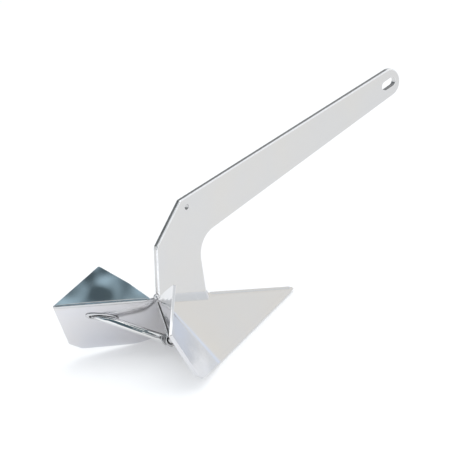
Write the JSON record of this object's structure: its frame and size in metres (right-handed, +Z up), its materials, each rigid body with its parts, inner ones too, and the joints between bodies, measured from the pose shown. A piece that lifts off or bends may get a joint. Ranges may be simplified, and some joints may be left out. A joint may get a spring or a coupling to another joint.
{
  "type": "boat anchor",
  "caption": "Fixed-shank plough anchor: a bent plate shank with a shackle slot, welded to a folded and flared two-sided fluke with upturned tail plates and brace rods.",
  "frame": {"origin": "centre of the anchor's bounding box, on the surface it lies on", "axes": "+X forwards, towards the fluke's tip and the shackle slot; +Y to port; +Z up, with the anchor resting on its tip and its two lower fluke corners"},
  "size_m": [0.7096, 0.2988, 0.2815],
  "materials": {
    "polished_plate": "mirror-polished stainless plate with fine polishing marks",
    "polished_rod": "mirror-polished stainless round bar",
    "underside_plate": "stainless plate, duller than the outside",
    "weld_bead": "ground and polished weld metal with a faint ripple",
    "ballast": "rough cast"
  },
  "bodies": {
    "root": {"shank": "polished_plate", "port_share": "polished_plate", "starboard_share": "polished_plate", "port_tail_plate": "polished_plate", "starboard_tail_plate": "polished_plate", "port_brace_rod": "polished_rod", "starboard_brace_rod": "polished_rod", "heel_gusset": "underside_plate", "ballast_cover": "underside_plate", "ballast_bulkhead": "underside_plate", "ridge_weld": "weld_bead", "shank_toe_weld": "weld_bead", "shank_heel_weld": "weld_bead", "port_shank_weld": "weld_bead", "port_tail_weld": "weld_bead", "port_gusset_weld": "weld_bead", "port_cover_weld": "weld_bead", "port_flare_rod_weld": "weld_bead", "port_heel_rod_weld": "weld_bead", "starboard_shank_weld": "weld_bead", "starboard_tail_weld": "weld_bead", "starboard_gusset_weld": "weld_bead", "starboard_cover_weld": "weld_bead", "starboard_flare_rod_weld": "weld_bead", "starboard_heel_rod_weld": "weld_bead", "toe_ballast": "ballast"}
  },
  "joints": []
}
